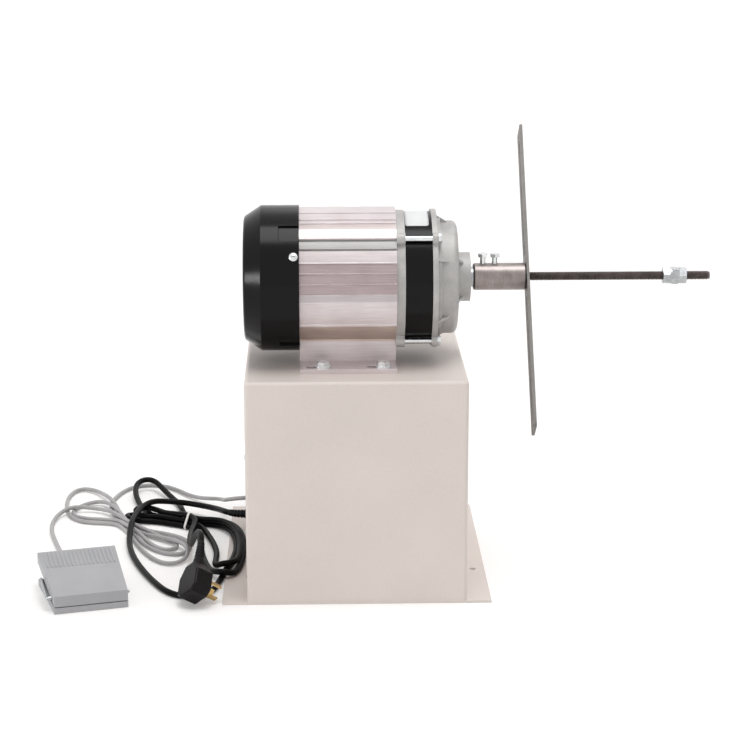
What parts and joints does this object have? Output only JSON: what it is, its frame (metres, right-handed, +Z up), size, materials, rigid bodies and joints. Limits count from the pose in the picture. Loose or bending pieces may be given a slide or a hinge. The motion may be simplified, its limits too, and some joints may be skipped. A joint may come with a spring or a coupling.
{
  "type": "coil winding machine",
  "caption": "Geared motor on a folded steel case turns a slotted faceplate bar and a long rod with clamp nuts; a foot pedal and a power cord lie beside it.",
  "frame": {"origin": "centre of the base plate's four bolt holes, on its underside", "axes": "+X along the spindle towards the rod's tip, +Y towards the control panel, +Z up"},
  "size_m": [0.7585, 0.4574, 0.4949],
  "materials": {
    "base_plate": "warm grey powder coat",
    "case_shell": "warm grey powder coat",
    "control_panel": "warm grey powder coat",
    "case_screws": "zinc plated",
    "counter_housing": "black moulding",
    "counter_window": "tinted red window",
    "speed_pot": "black moulding",
    "power_switch_body": "black moulding",
    "direction_switch_body": "black moulding",
    "motor_driver": "natural aluminium",
    "power_gland": "black rubber",
    "pedal_gland": "black rubber",
    "motor_lead": "black cord sheath",
    "motor_body": "extruded, satin",
    "foot_bolts": "zinc plated",
    "end_cover": "gloss black",
    "cover_screws": "zinc plated",
    "rear_bracket": "die cast",
    "rear_bearing": "bearing steel",
    "front_bracket": "die cast",
    "front_bearing": "bearing steel",
    "stator_core": "electrical steel stack",
    "stator_windings": "varnished copper",
    "ring_gear_case": "machined steel",
    "gearbox_cover": "die cast",
    "tie_bolts": "zinc plated",
    "output_bearing": "bearing steel",
    "shaft_seal": "seal rubber",
    "pedal_base": "grey paint",
    "pedal_pin": "spring steel",
    "pedal_spring": "spring steel",
    "pedal_switch": "black switch",
    "power_cord": "black cord sheath",
    "power_hank": "black cord sheath",
    "pedal_cord": "grey cord sheath",
    "pedal_hank": "grey cord sheath",
    "pedal_lead": "grey cord sheath",
    "cord_ties": "pale tie",
    "plug": "black moulded plug",
    "plug_pins": "brass blades",
    "reset_key": "red key",
    "speed_knob": "black knob",
    "power_rocker": "black rocker",
    "direction_lever": "plated lever",
    "rotor_core": "electrical steel stack",
    "rotor_shaft": "machined steel",
    "cooling_fan": "black moulding",
    "planet_gear_1": "machined steel",
    "planet_gear_2": "machined steel",
    "planet_gear_3": "machined steel",
    "planet_carrier": "machined steel",
    "output_shaft": "machined steel",
    "shaft_key": "machined steel",
    "coupling_sleeve": "dark turned steel",
    "clamp_screws": "zinc plated",
    "faceplate_bar": "dull steel strip",
    "winding_rod": "dark threaded rod",
    "clamp_nuts": "zinc plated",
    "nut_washer": "zinc plated",
    "pedal_plate": "grey paint"
  },
  "bodies": {
    "frame": {"base_plate": "base_plate", "case_shell": "case_shell", "control_panel": "control_panel", "case_screws": "case_screws", "counter_housing": "counter_housing", "counter_window": "counter_window", "speed_pot": "speed_pot", "power_switch_body": "power_switch_body", "direction_switch_body": "direction_switch_body", "motor_driver": "motor_driver", "power_gland": "power_gland", "pedal_gland": "pedal_gland", "motor_lead": "motor_lead", "motor_body": "motor_body", "foot_bolts": "foot_bolts", "end_cover": "end_cover", "cover_screws": "cover_screws", "rear_bracket": "rear_bracket", "rear_bearing": "rear_bearing", "front_bracket": "front_bracket", "front_bearing": "front_bearing", "stator_core": "stator_core", "stator_windings": "stator_windings", "ring_gear_case": "ring_gear_case", "gearbox_cover": "gearbox_cover", "tie_bolts": "tie_bolts", "output_bearing": "output_bearing", "shaft_seal": "shaft_seal", "pedal_base": "pedal_base", "pedal_pin": "pedal_pin", "pedal_spring": "pedal_spring", "pedal_switch": "pedal_switch", "power_cord": "power_cord", "power_hank": "power_hank", "pedal_cord": "pedal_cord", "pedal_hank": "pedal_hank", "pedal_lead": "pedal_lead", "cord_ties": "cord_ties", "plug": "plug", "plug_pins": "plug_pins"},
    "reset_key_body": {"reset_key": "reset_key"},
    "speed_knob_body": {"speed_knob": "speed_knob"},
    "power_rocker_body": {"power_rocker": "power_rocker"},
    "direction_lever_body": {"direction_lever": "direction_lever"},
    "rotor": {"rotor_core": "rotor_core", "rotor_shaft": "rotor_shaft", "cooling_fan": "cooling_fan"},
    "planet_1": {"planet_gear_1": "planet_gear_1"},
    "planet_2": {"planet_gear_2": "planet_gear_2"},
    "planet_3": {"planet_gear_3": "planet_gear_3"},
    "spindle": {"planet_carrier": "planet_carrier", "output_shaft": "output_shaft", "shaft_key": "shaft_key", "coupling_sleeve": "coupling_sleeve", "clamp_screws": "clamp_screws", "faceplate_bar": "faceplate_bar", "winding_rod": "winding_rod"},
    "nuts": {"clamp_nuts": "clamp_nuts", "nut_washer": "nut_washer"},
    "pedal_treadle": {"pedal_plate": "pedal_plate"}
  },
  "joints": [
    {"name": "spindle_spin", "type": "hinge", "parent": "frame", "child": "spindle", "pos_m": [0.16, -0.057, 0.34], "axis": [1, 0, 0], "continuous": true},
    {"name": "rotor_spin", "type": "hinge", "parent": "frame", "child": "rotor", "pos_m": [-0.005, -0.057, 0.34], "axis": [1, 0, 0], "continuous": true},
    {"name": "planet_1_spin", "type": "hinge", "parent": "spindle", "child": "planet_1", "pos_m": [0.0697, -0.057, 0.379], "axis": [1, 0, 0], "continuous": true},
    {"name": "planet_2_spin", "type": "hinge", "parent": "spindle", "child": "planet_2", "pos_m": [0.0697, -0.09077, 0.3205], "axis": [1, 0, 0], "continuous": true},
    {"name": "planet_3_spin", "type": "hinge", "parent": "spindle", "child": "planet_3", "pos_m": [0.0697, -0.02322, 0.3205], "axis": [1, 0, 0], "continuous": true},
    {"name": "nut_travel", "type": "slide", "parent": "spindle", "child": "nuts", "axis": [1, 0, 0], "range_m": [-0.147, 0.024]},
    {"name": "treadle_press", "type": "hinge", "parent": "frame", "child": "pedal_treadle", "pos_m": [-0.29097, -0.16968, 0.014], "axis": [-0.9659, -0.2588, 0], "range_deg": [0, 5.2], "stiffness_Nm_per_rad": 14, "springref_deg": -2.86, "deforming": ["pedal_spring"]},
    {"name": "speed_knob_turn", "type": "hinge", "parent": "frame", "child": "speed_knob_body", "pos_m": [-0.062, 0.175, 0.098], "axis": [0, 1, 0], "range_deg": [-135, 135]},
    {"name": "direction_lever_swing", "type": "hinge", "parent": "frame", "child": "direction_lever_body", "pos_m": [0, 0.173, 0.098], "axis": [1, 0, 0], "range_deg": [-14, 14]},
    {"name": "power_rocker_swing", "type": "hinge", "parent": "frame", "child": "power_rocker_body", "pos_m": [0.062, 0.165, 0.098], "axis": [1, 0, 0], "range_deg": [0, 16]},
    {"name": "reset_key_press", "type": "slide", "parent": "frame", "child": "reset_key_body", "axis": [0, -1, 0], "range_m": [0, 0.0012], "stiffness_N_per_m": 300, "springref_m": -0.003}
  ],
  "couplings": [
    {"joint": "rotor_spin", "follows": "spindle_spin", "ratio": 4.3333},
    {"joint": "planet_1_spin", "follows": "spindle_spin", "ratio": -2.8571},
    {"joint": "planet_2_spin", "follows": "spindle_spin", "ratio": -2.8571},
    {"joint": "planet_3_spin", "follows": "spindle_spin", "ratio": -2.8571}
  ]
}
